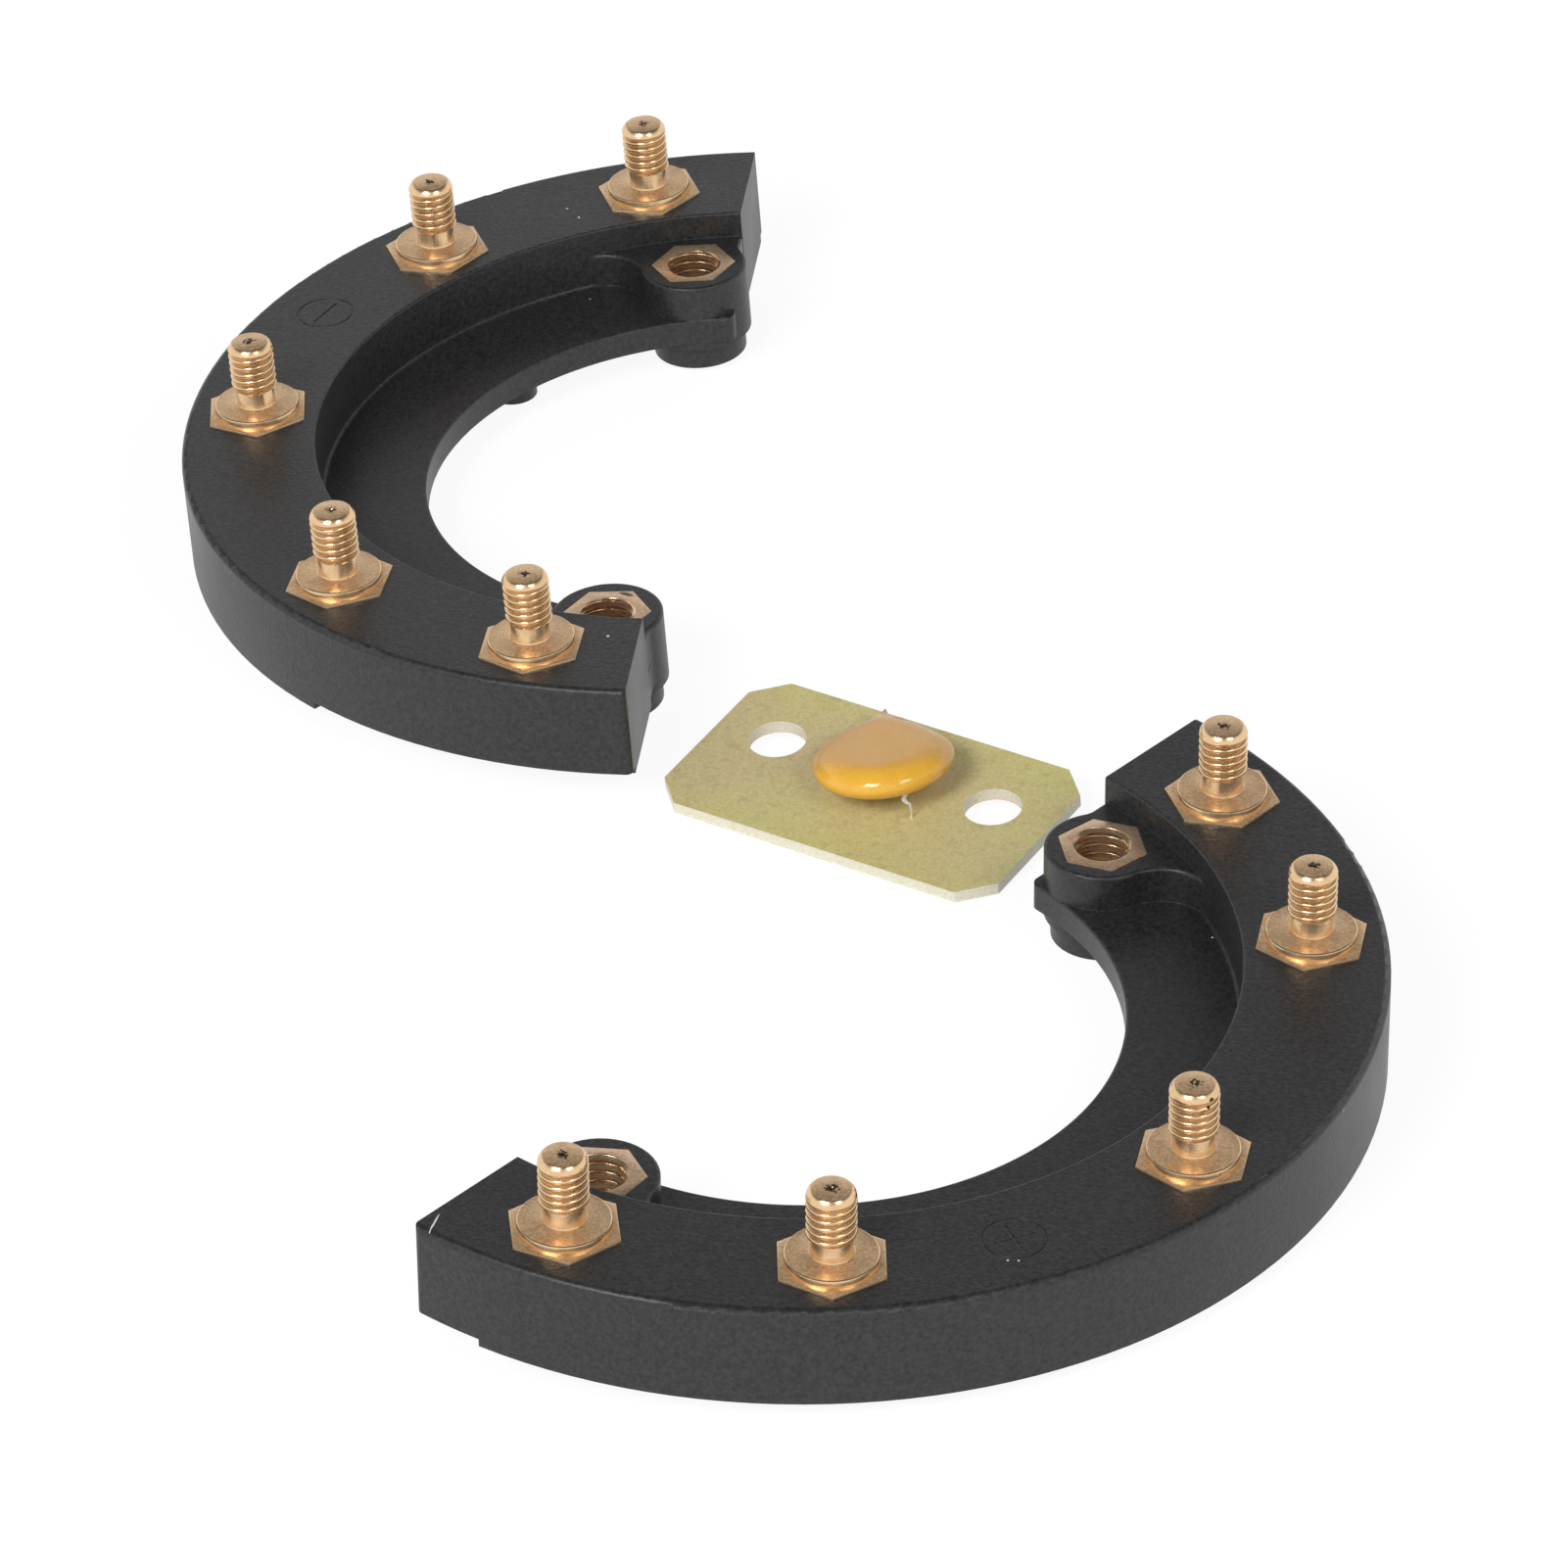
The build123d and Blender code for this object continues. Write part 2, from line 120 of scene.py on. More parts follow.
# Angles of the disc's section from its lower to its upper crown, and the flat crown's last rings
BOW_ANGLES = (-88, -80, -70, -60, -50, -38, -26, -14, -4, 6, 16, 27, 38, 48, 57, 65, 72, 78, 83, 88)
CROWN_RINGS = [(3.4, 2.36), (1.8, 2.4), (0.4, 2.42)]
DISC_FOOT_R = 2.5
DISC_STEPS = 112

# Pulls that draw the disc out to its tip: (place, reach, move, falloff)
DISC_PULLS = (
    ((-0.8, VARISTOR_R, 0), 8.0, (0, 0.5, 0.2), "SHARP"),
    ((-0.2, VARISTOR_R + 0.4, 0.2), 3.6, (-0.1, 1.9, 0.8), "SHARP"),
    ((-0.3, 11.3, 1.0), 1.7, (0.25, 0.35, 0.35), "SHARP"),
    ((7.0, 5.6, 0), 6.0, (-0.45, -0.6, -0.2), "SMOOTH"),
    ((2.6, 8.9, 0.3), 2.8, (0.2, -0.75, -0.4), "SMOOTH"),
    ((0, 7.0, 1.6), 3.6, (0, 0, 0.3), "SMOOTH"),
    ((0, 4.2, 2.3), 3.4, (0, 0, 0.16), "SMOOTH"),
)

# The lead's bends from its stub to the disc: (x, y, height over the board's top, radius)
LEAD_BENDS = (
    (0, 0, -0.25, LEAD_R),
    (0, 0, -0.2, LEAD_R + 0.085),
    (0, 0, -0.02, LEAD_R + 0.085),
    (0, 0, 0.02, LEAD_R),
    (0, 0, 0.1, 0.2),
    (0, 0, 0.4, 0.14),
    (0.05, 0, 1.1, 0.13),
    (-0.02, 0, 1.7, 0.14),
    (-0.2, 0.05, 2.1, 0.2),
    (-0.55, -0.05, 2.25, 0.3),
    (-0.82, -0.1, 2.5, 0.33),
    (-0.9, -0.05, 2.9, 0.32),
    (-0.7, 0, 3.3, 0.3),
    (-0.35, 0.1, 3.7, 0.3),
    (-0.2, 0.3, 4.6, 0.3),
)

# Single marks that the object bears: (place, half sizes, turn), in mm and degrees
MOULDING_MARKS = (
    ((54.15, -50.86, 8.43), (0.16, 0.16, 0.3), 0),
    ((-23.51, 121.69, 16.88), (0.2, 0.15, 0.3), 0),
    ((-21.9, 118.96, 16.96), (0.16, 0.2, 0.3), 0),
    ((26.12, -125.87, 15.69), (0.12, 0.2, 0.3), 0),
    ((27.35, -125.91, 15.65), (0.12, 0.2, 0.3), 0),
    ((-18.64, 9.41, 17.66), (0.22, 0.22, 0.4), 0),
    ((-39.5, -116.7, 17.75), (0.13, 2.0, 0.5), -19),
)
STUD_MARKS = (
    ((50.56, -109.2, 25.19), (0.34, 0.4, 0.3), 0),
    ((49.61, -109.74, 23.82), (0.5, 0.4, 0.34), 0),
    ((50.2, -109.5, 24.4), (0.2, 0.3, 0.4), 0),
)
INSERT_MARKS = (((-16.3, 25.2, 14.0), (1.1, 0.4, 0.4), -30),)
COAT_MARKS = (((16.1, 5.6, 8.0), (0.9, 0.7, 0.9), 0),)
FLUX_MARKS = (((18.7, -12.4, 2.5), (1.4, 1.4, 0.75), 0),)

# Colours of the marks
DUST_COLOUR = (0.40, 0.40, 0.40, 1)
SCRATCH_COLOUR = (0.70, 0.70, 0.70, 1)
STAIN_COLOUR = (0.36, 0.20, 0.09, 1)
PIT_AND_SHADE_COLOUR = (0.055, 0.038, 0.022, 1)
NICK_COLOUR = (0.06, 0.035, 0.02, 1)
DRIP_COLOUR = (0.34, 0.10, 0.05, 1)
FLUX_COLOUR = (0.82, 0.70, 0.38, 1)

# Finishes: how level brass must lie to look like a dull face, how metallic its walls and faces are,
# where a stud's end is pitted and how far out its centre pit is painted dark as shade, the edge radius of
# the moulding, and the way that the coat's yellow front faces; the coat's faces turned away from it are
# painted with a tan sheen
LEVEL_FACE = (0.86, 0.97)
WALL_METALLIC = 0.94
FACE_METALLIC = 0.72
CENTRE_PIT_SHADE_R = 0.3
PIT_EDGE_R = 1.1
PIT_DEPTH = 0.5
MOULDED_EDGE_R = 0.16
COAT_FRONT_WITHOUT_PAINTED_SHEEN = (-0.16, -0.93, 0.33)

# Stage, in metres and watts. The camera's place and aim are in mm.
FLOOR_SIZE = 30
FLOOR_GLOW = 1.06
FLOOR_GLOW_SHARE = 0.86
FLOOR_COLOUR = (0.86, 0.86, 0.86, 1)
ROOM_LOW = (1.04, 1.04, 1.05, 1)
ROOM_HIGH = (0.10, 0.10, 0.103, 1)
LAMPS = (("key", (-0.9, -1.38, 1.45), 0.72, 29), ("fill", (0.9, -1.38, 1.45), 0.60, 9))
CAMERA_LENS = 209.6
CAMERA_PLACE = (2.86, -971.90, 629.35)
CAMERA_AIM = (2.86, -2.31, 1.82)
CAMERA_RIGHT = (0.99910797, -0.0229446, -0.03545164)

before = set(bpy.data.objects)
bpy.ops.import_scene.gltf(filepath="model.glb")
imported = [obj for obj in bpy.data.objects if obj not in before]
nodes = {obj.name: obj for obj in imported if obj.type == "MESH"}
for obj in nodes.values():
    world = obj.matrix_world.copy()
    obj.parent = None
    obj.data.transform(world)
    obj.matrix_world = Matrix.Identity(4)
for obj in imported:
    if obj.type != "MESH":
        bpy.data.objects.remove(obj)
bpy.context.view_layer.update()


# Modelling

def only(piece):
    """Selects one piece and makes it the active one."""
    bpy.ops.object.select_all(action="DESELECT")
    piece.select_set(True)
    bpy.context.view_layer.objects.active = piece


def edit(piece):
    """Opens a piece in edit mode with nothing selected."""
    only(piece)
    bpy.ops.object.mode_set(mode="EDIT")
    bpy.ops.mesh.select_mode(type="FACE")
    bpy.ops.mesh.select_all(action="DESELECT")


def done():
    """Closes the piece that is open in edit mode."""
    bpy.ops.object.mode_set(mode="OBJECT")


def pick_edges(test):
    """Selects the edges of the open piece that pass a test."""
    bpy.ops.mesh.select_mode(type="EDGE")
    bpy.ops.mesh.select_all(action="DESELECT")
    mesh = bmesh.from_edit_mesh(bpy.context.edit_object.data)
    for edge in mesh.edges:
        if test(edge):
            edge.select_set(True)
    bmesh.update_edit_mesh(bpy.context.edit_object.data)


def middle(edge):
    """The middle point of an edge."""
    return (edge.verts[0].co + edge.verts[1].co) / 2


def rise(height):
    """Extrudes the selected faces upwards."""
    bpy.ops.mesh.extrude_region_move(TRANSFORM_OT_translate={"value": (0, 0, height)})


def widen(factor, centre=(0, 0, 0)):
    """Scales what is selected about an upright axis."""
    bpy.ops.transform.resize(value=(factor, factor, 1), center_override=centre)


def cone(old_r, new_r, height):
    """Raises the top face while its radius changes."""
    rise(height)
    widen(new_r / old_r)


def hexagon(name, flats, low, high, edge):
    """A hexagon body with all its edges eased."""
    bpy.ops.object.select_all(action="DESELECT")
    bpy.ops.mesh.primitive_cylinder_add(
        vertices=6,
        radius=flats / 2 / math.cos(math.radians(30)) * MM,
        depth=(high - low) * MM,
        location=(0, 0, (high + low) / 2 * MM),
        rotation=(0, 0, math.radians(30)),
    )
    piece = bpy.context.object
    piece.name = name
    bpy.ops.object.transform_apply(location=True, rotation=True, scale=True)
    edit(piece)
    pick_edges(lambda e: True)
    bpy.ops.mesh.bevel(offset=edge * MM, segments=2, affect="EDGES")
    done()
    return piece


def turned(name, profile, vertices=64):
    """A turned solid, raised ring by ring from its lowest face. Profile is (radius, height) in mm."""
    bpy.ops.object.select_all(action="DESELECT")
    radius, level = profile[0]
    bpy.ops.mesh.primitive_circle_add(
        vertices=vertices, radius=radius * MM, fill_type="NGON", location=(0, 0, level * MM)
    )
    piece = bpy.context.object
    piece.name = name
    bpy.ops.object.transform_apply(location=True, rotation=True, scale=True)
    edit(piece)
    bpy.ops.mesh.select_all(action="SELECT")
    for (r, z), (new_r, new_z) in zip(profile, profile[1:]):
        cone(r, new_r, (new_z - z) * MM)
    bpy.ops.mesh.select_all(action="SELECT")
    bpy.ops.mesh.normals_make_consistent(inside=False)
    done()
    return piece


def coil(name, inner_r, outer_r, foot, crest, pitch, low, high):
    """A ridge wound round the Z axis: a bar of trapezoid section, its pitch and both ends given."""
    turns = math.ceil((high - low) / pitch) + 2
    bpy.ops.object.select_all(action="DESELECT")
    bpy.ops.mesh.primitive_plane_add(
        size=1, location=((inner_r + outer_r) / 2 * MM, 0, (low - pitch) * MM), rotation=(math.pi / 2, 0, 0)
    )
    piece = bpy.context.object
    piece.name = name
    piece.scale = ((outer_r - inner_r) * MM, foot * MM, 1)
    bpy.ops.object.transform_apply(location=True, rotation=True, scale=True)
    edit(piece)
    pick_edges(lambda e: middle(e).x > outer_r * MM - 1e-6)
    bpy.ops.transform.resize(
        value=(1, 1, crest / foot), center_override=(outer_r * MM, 0, (low - pitch) * MM)
    )
    bpy.ops.mesh.select_mode(type="VERT")
    bpy.ops.mesh.bevel(offset=crest * MM * CREST_ROUND, segments=3, affect="VERTICES")
    bpy.ops.mesh.select_all(action="SELECT")
    bpy.ops.mesh.delete(type="ONLY_FACE")
    done()
    screw = piece.modifiers.new("winding", "SCREW")
    screw.axis = "Z"
    screw.angle = math.tau
    screw.screw_offset = pitch * MM
    screw.iterations = turns
    screw.steps = TURN_STEPS
    screw.render_steps = TURN_STEPS
    screw.use_merge_vertices = False
    bpy.ops.object.modifier_apply(modifier=screw.name)
    edit(piece)
    bpy.ops.mesh.select_mode(type="EDGE")
    bpy.ops.mesh.select_all(action="SELECT")
    bpy.ops.mesh.remove_doubles(threshold=1e-7)
    bpy.ops.mesh.select_all(action="DESELECT")
    bpy.ops.mesh.select_non_manifold()
    bpy.ops.mesh.edge_face_add()
    bpy.ops.mesh.select_all(action="SELECT")
    bpy.ops.mesh.normals_make_consistent(inside=False)
    done()
    return piece


def pull(piece, place, reach, move, falloff):
    """Moves the skin round a point of a piece, less and less with distance. In mm."""
    edit(piece)
    bpy.ops.mesh.select_mode(type="VERT")
    mesh = bmesh.from_edit_mesh(piece.data)
    target = Vector(place) * MM
    nearest = min(mesh.verts, key=lambda v: (v.co - target).length)
    nearest.select_set(True)
    bmesh.update_edit_mesh(piece.data)
    bpy.ops.transform.translate(
        value=Vector(move) * MM,
        use_proportional_edit=True,
        proportional_edit_falloff=falloff,
        proportional_size=reach * MM,
        use_proportional_connected=False,
    )
    done()


def wire(name, path):
    """A wire drawn along a path of (x, y, z, radius), its first and last section level. In mm."""
    x, y, z, radius = path[0]
    bpy.ops.object.select_all(action="DESELECT")
    bpy.ops.mesh.primitive_circle_add(
        vertices=24, radius=radius * MM, fill_type="NGON", location=(x * MM, y * MM, z * MM)
    )
    piece = bpy.context.object
    piece.name = name
    bpy.ops.object.transform_apply(location=True, rotation=True, scale=True)
    edit(piece)
    bpy.ops.mesh.select_all(action="SELECT")
    for (x, y, z, r), (new_x, new_y, new_z, new_r) in zip(path, path[1:]):
        bpy.ops.mesh.extrude_region_move(
            TRANSFORM_OT_translate={"value": ((new_x - x) * MM, (new_y - y) * MM, (new_z - z) * MM)}
        )
        widen(new_r / r, (new_x * MM, new_y * MM, new_z * MM))
    bpy.ops.mesh.select_all(action="SELECT")
    bpy.ops.mesh.normals_make_consistent(inside=False)
    done()
    return piece


def combine(piece, tool, operation):
    """Joins, cuts or keeps the common part of two solids, and removes the second."""
    only(piece)
    step = piece.modifiers.new("fit", "BOOLEAN")
    step.operation = operation
    step.solver = "EXACT"
    step.object = tool
    bpy.ops.object.modifier_apply(modifier=step.name)
    bpy.data.objects.remove(tool)


def smooth(piece, degrees=25):
    """Shades a piece smooth, but for edges sharper than an angle."""
    only(piece)
    bpy.ops.object.shade_smooth_by_angle(angle=math.radians(degrees))


def keep_local(piece):
    """Stores each point's place on the piece's own axis, for patterns that follow its turning."""
    points = piece.data.attributes.new("lathe", "FLOAT_VECTOR", "POINT")
    for point, vertex in zip(points.data, piece.data.vertices):
        point.vector = vertex.co


def place_copy(model, name, matrix, node, slot):
    """A copy of a model set down at its place, in the finish of its slot, standing for a CAD node."""
    piece = bpy.data.objects.new(name, model.data.copy())
    bpy.context.scene.collection.objects.link(piece)
    piece.data.transform(matrix)
    piece.data.materials.clear()
    piece.data.materials.append(FINISHES[slot])
    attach(piece, "root")
    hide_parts(node)


def half_seat(centre, turn):
    """The underside plane of a half, leaning towards its closed side."""
    middle_at = Matrix.Translation((centre[0] * MM, centre[1] * MM, 0))
    upright = middle_at @ Matrix.Rotation(math.radians(turn), 4, "Z")
    feet = upright @ Matrix.Translation((FOOT_REACH * MM, 0, 0)) @ Matrix.Rotation(LEAN, 4, "Y")
    return feet @ Matrix.Translation((-FOOT_REACH * MM, 0, BOSS_DROP * MM))


def on_seat(seat, radius, angle, turn):
    """The frame of a turned piece at a radius and angle of its half, turned about its own axis."""
    a = math.radians(angle)
    at = seat @ Matrix.Translation((radius * math.cos(a) * MM, radius * math.sin(a) * MM, 0))
    return at @ Matrix.Rotation(math.radians(turn), 4, "Z")


# Shading

def node(tree, kind, values=None, **settings):
    """A shader node with its settings and the values or links of its inputs."""
    made = tree.nodes.new(kind)
    for key, value in settings.items():
        setattr(made, key, value)
    for key, value in (values or {}).items():
        if isinstance(value, bpy.types.NodeSocket):
            tree.links.new(value, made.inputs[key])
        else:
            made.inputs[key].default_value = value
    return made


def group(name, inputs, outputs):
    """An empty node group with named inputs and outputs."""
    tree = bpy.data.node_groups.new(name, "ShaderNodeTree")
    for label, kind, value in inputs:
        socket = tree.interface.new_socket(label, in_out="INPUT", socket_type=kind)
        socket.default_value = value
    for label, kind in outputs:
        tree.interface.new_socket(label, in_out="OUTPUT", socket_type=kind)
    return tree, tree.nodes.new("NodeGroupInput").outputs, tree.nodes.new("NodeGroupOutput")


FLOAT = "NodeSocketFloat"
VECTOR = "NodeSocketVector"


def math_node(tree, operation, a, b=0.0):
    """The result of one operation on one or two values."""
    made = node(tree, "ShaderNodeMath", operation=operation)
    for socket, value in zip(made.inputs, (a, b)):
        if isinstance(value, bpy.types.NodeSocket):
            tree.links.new(value, socket)
        else:
            socket.default_value = value
    return made.outputs[0]


def blend_colour(tree, factor, low, high):
    """Mixes two colours by a factor."""
    made = node(tree, "ShaderNodeMix", data_type="RGBA")
    for socket, value in ((made.inputs[0], factor), (made.inputs[6], low), (made.inputs[7], high)):
        if isinstance(value, bpy.types.NodeSocket):
            tree.links.new(value, socket)
        else:
            socket.default_value = value
    return made.outputs[2]


def spread(tree, value, low, high, to_low=0.0, to_high=1.0):
    """Takes a range of a value to another range, held at its ends."""
    made = node(
        tree,
        "ShaderNodeMapRange",
        {"From Min": low, "From Max": high, "To Min": to_low, "To Max": to_high},
        clamp=True,
    )
    tree.links.new(value, made.inputs["Value"])
    return made.outputs["Result"]


def make_grain():
    """Fine grain and soft mottling of a moulded or coated surface."""
    tree, given, out = group(
        "surface_grain",
        [
            ("Vector", VECTOR, (0, 0, 0)),
            ("Grain per metre", FLOAT, 3000.0),
            ("Mottle per metre", FLOAT, 120.0),
        ],
        [("Grain", FLOAT), ("Mottle", FLOAT)],
    )
    fine = node(
        tree,
        "ShaderNodeTexNoise",
        {"Vector": given["Vector"], "Scale": given["Grain per metre"], "Detail": 3.0, "Roughness": 0.6},
    )
    soft = node(
        tree,
        "ShaderNodeTexNoise",
        {"Vector": given["Vector"], "Scale": given["Mottle per metre"], "Detail": 4.0, "Roughness": 0.55},
    )
    tree.links.new(spread(tree, fine.outputs["Fac"], 0.3, 0.7), out.inputs["Grain"])
    tree.links.new(spread(tree, soft.outputs["Fac"], 0.3, 0.7), out.inputs["Mottle"])
    return tree


def make_specks():
    """Scattered specks: dust, pits or crumbs, by size and by the share of cells that has one."""
    tree, given, out = group(
        "specks",
        [
            ("Vector", VECTOR, (0, 0, 0)),
            ("Cells per metre", FLOAT, 400.0),
            ("Size", FLOAT, 0.1),
            ("Share", FLOAT, 0.1),
        ],
        [("Mask", FLOAT)],
    )
    cells = node(
        tree, "ShaderNodeTexVoronoi", {"Vector": given["Vector"], "Scale": given["Cells per metre"]}
    )
    chance = node(tree, "ShaderNodeSeparateColor", {"Color": cells.outputs["Color"]})
    there = math_node(tree, "LESS_THAN", chance.outputs[0], given["Share"])
    size = math_node(tree, "MULTIPLY", given["Size"], chance.outputs[1])
    near = math_node(tree, "LESS_THAN", cells.outputs["Distance"], size)
    tree.links.new(math_node(tree, "MULTIPLY", there, near), out.inputs["Mask"])
    return tree


def make_turning():
    """Rings left by the lathe: they follow the radius on a face and the height on a wall."""
    tree, given, out = group(
        "turning_marks",
        [("Vector", VECTOR, (0, 0, 0)), ("Rings per metre", FLOAT, 6000.0)],
        [("Height", FLOAT), ("Radius", FLOAT)],
    )
    parts = node(tree, "ShaderNodeSeparateXYZ", {"Vector": given["Vector"]})
    flat = node(tree, "ShaderNodeCombineXYZ", {"X": parts.outputs["X"], "Y": parts.outputs["Y"]})
    length = node(tree, "ShaderNodeVectorMath", {0: flat.outputs[0]}, operation="LENGTH")
    ring = node(
        tree, "ShaderNodeCombineXYZ", {"X": length.outputs["Value"], "Y": parts.outputs["Z"]}
    )
    marks = node(
        tree,
        "ShaderNodeTexNoise",
        {"Vector": ring.outputs[0], "Scale": given["Rings per metre"], "Detail": 2.0, "Roughness": 0.6},
        noise_dimensions="2D",
    )
    tree.links.new(marks.outputs["Fac"], out.inputs["Height"])
    tree.links.new(length.outputs["Value"], out.inputs["Radius"])
    return tree


def make_mark():
    """One mark at a given place: a ragged blot with three half sizes, turned about Z."""
    tree, given, out = group(
        "mark",
        [
            ("Vector", VECTOR, (0, 0, 0)),
            ("Place", VECTOR, (0, 0, 0)),
            ("Turn", VECTOR, (0, 0, 0)),
            ("Half sizes", VECTOR, (0.001, 0.001, 0.001)),
        ],
        [("Mask", FLOAT)],
    )
    own = node(
        tree,
        "ShaderNodeMapping",
        {
            "Vector": given["Vector"],
            "Location": given["Place"],
            "Rotation": given["Turn"],
            "Scale": given["Half sizes"],
        },
        vector_type="TEXTURE",
    )
    length = node(tree, "ShaderNodeVectorMath", {0: own.outputs[0]}, operation="LENGTH")
    ragged = node(tree, "ShaderNodeTexNoise", {"Vector": given["Vector"], "Scale": 4200.0, "Detail": 3.0})
    total = math_node(tree, "ADD", length.outputs["Value"], ragged.outputs["Fac"])
    tree.links.new(spread(tree, total, 1.25, 1.55, 1.0, 0.0), out.inputs["Mask"])
    return tree


GRAIN = make_grain()
SPECKS = make_specks()
TURNING = make_turning()
MARK = make_mark()


def use(tree, what, values):
    """Places a node group in a material, with its own values."""
    made = tree.nodes.new("ShaderNodeGroup")
    made.node_tree = what
    for key, value in values.items():
        if isinstance(value, bpy.types.NodeSocket):
            tree.links.new(value, made.inputs[key])
        else:
            made.inputs[key].default_value = value
    return made.outputs


def material(name, **values):
    """A material with a Principled shader; plain values sit on the shader's own sockets."""
    made = bpy.data.materials.new(name)
    made.use_nodes = True
    tree = made.node_tree
    shader = tree.nodes["Principled BSDF"]
    for key, value in values.items():
        shader.inputs[key.replace("_", " ")].default_value = value
    return made, tree, shader


def object_space(tree):
    """The object's own coordinates."""
    return node(tree, "ShaderNodeTexCoord").outputs["Object"]


def bump(tree, shader, height, depth_mm, strength=1.0):
    """Roughens a surface by a height pattern."""
    made = node(tree, "ShaderNodeBump", {"Height": height, "Distance": depth_mm * MM, "Strength": strength})
    tree.links.new(made.outputs["Normal"], shader.inputs["Normal"])
    return made


def add_marks(tree, space, colour, marks, ink):
    """Lays marks over a colour. Each mark is (place, half sizes, turn), in mm and degrees."""
    for place, sizes, turn in marks:
        mask = use(
            tree,
            MARK,
            {
                "Vector": space,
                "Place": Vector(place) * MM,
                "Turn": (0, 0, math.radians(turn)),
                "Half sizes": Vector(sizes) * MM,
            },
        )["Mask"]
        colour = blend_colour(tree, mask, colour, ink)
    return colour


def facing_up(tree):
    """How level a surface lies: 1 on a face that looks up or down, 0 on an upright wall."""
    normal = node(tree, "ShaderNodeNewGeometry").outputs["Normal"]
    parts = node(tree, "ShaderNodeSeparateXYZ", {"Vector": normal})
    return math_node(tree, "ABSOLUTE", parts.outputs["Z"])


def make_moulding():
    """Charcoal-black glass-filled moulding with a fine grain, some dust and a scratch."""
    made, tree, shader = material("moulded_black", Specular_IOR_Level=0.42)
    space = object_space(tree)
    grain = use(tree, GRAIN, {"Vector": space, "Grain per metre": 1700.0, "Mottle per metre": 60.0})
    colour = blend_colour(tree, grain["Mottle"], (0.007, 0.007, 0.0078, 1), (0.011, 0.011, 0.0118, 1))
    colour = blend_colour(
        tree, math_node(tree, "MULTIPLY", grain["Grain"], 0.6), colour, (0.046, 0.046, 0.047, 1)
    )
    dust = use(tree, SPECKS, {"Vector": space, "Cells per metre": 240.0, "Size": 0.05, "Share": 0.06})
    colour = blend_colour(tree, dust["Mask"], colour, DUST_COLOUR)
    colour = add_marks(tree, space, colour, MOULDING_MARKS, SCRATCH_COLOUR)
    tree.links.new(colour, shader.inputs["Base Color"])
    rough = spread(tree, grain["Mottle"], 0.0, 1.0, 0.36, 0.44)
    tree.links.new(rough, shader.inputs["Roughness"])
    rounded = node(tree, "ShaderNodeBevel", {"Radius": MOULDED_EDGE_R * MM}, samples=6)
    skin = bump(tree, shader, grain["Grain"], 0.022)
    tree.links.new(rounded.outputs["Normal"], skin.inputs["Normal"])
    return made


def make_brass(name, wall_low, wall_high, face_low, face_high, marks, pitted):
    """Turned brass: bright ringed walls, dull grainy faces, stains, and on a stud pits in its end, its centre
    pit painted dark as shade.
    """
    made, tree, shader = material(name)
    space = object_space(tree)
    grain = use(tree, GRAIN, {"Vector": space, "Grain per metre": 2600.0, "Mottle per metre": 380.0})
    lathe = node(tree, "ShaderNodeAttribute", attribute_name="lathe").outputs["Vector"]
    rings = use(tree, TURNING, {"Vector": lathe, "Rings per metre": 3600.0})
    face = spread(tree, facing_up(tree), *LEVEL_FACE)
    wall_colour = blend_colour(tree, grain["Mottle"], wall_low, wall_high)
    face_colour = blend_colour(tree, grain["Grain"], face_low, face_high)
    colour = blend_colour(tree, face, wall_colour, face_colour)
    stains = math_node(tree, "MULTIPLY", spread(tree, grain["Mottle"], 0.55, 1.0), 0.30)
    colour = blend_colour(tree, stains, colour, STAIN_COLOUR)
    if pitted:
        chance = node(tree, "ShaderNodeObjectInfo").outputs["Random"]
        moved = node(tree, "ShaderNodeVectorMath", {0: lathe, 1: chance}, operation="ADD")
        blots = node(tree, "ShaderNodeTexNoise", {"Vector": moved.outputs[0], "Scale": 2300.0, "Detail": 2.0})
        # Near the axis the end is painted dark as shade in its centre pit; farther out, the dark blots are
        # pits in the brass.
        centre_pit_shade = spread(tree, rings["Radius"], CENTRE_PIT_SHADE_R * MM, PIT_EDGE_R * MM, 0.30, 0.0)
        pits_and_shade = spread(tree, math_node(tree, "ADD", blots.outputs["Fac"], centre_pit_shade), 0.66, 0.72)
        level = node(tree, "ShaderNodeSeparateXYZ", {"Vector": lathe}).outputs["Z"]
        at_end = math_node(tree, "GREATER_THAN", level, (STUD_END - PIT_DEPTH) * MM)
        close = math_node(tree, "LESS_THAN", rings["Radius"], PIT_EDGE_R * MM)
        pits_and_shade = math_node(tree, "MULTIPLY", pits_and_shade, math_node(tree, "MULTIPLY", at_end, close))
        colour = blend_colour(tree, pits_and_shade, colour, PIT_AND_SHADE_COLOUR)
    colour = add_marks(tree, space, colour, marks, NICK_COLOUR)
    tree.links.new(colour, shader.inputs["Base Color"])
    wall_rough = spread(tree, grain["Grain"], 0.0, 1.0, 0.17, 0.27)
    face_rough = spread(tree, grain["Grain"], 0.0, 1.0, 0.28, 0.42)
    rough = node(tree, "ShaderNodeMix", {0: face, 2: wall_rough, 3: face_rough})
    tree.links.new(rough.outputs[0], shader.inputs["Roughness"])
    height = math_node(tree, "MULTIPLY_ADD", rings["Height"], 0.5)
    tree.links.new(math_node(tree, "MULTIPLY", grain["Grain"], 0.5), height.node.inputs[2])
    worn = node(tree, "ShaderNodeMix", {0: face, 2: WALL_METALLIC, 3: FACE_METALLIC})
    tree.links.new(worn.outputs[0], shader.inputs["Metallic"])
    bump(tree, shader, height, 0.014)
    return made


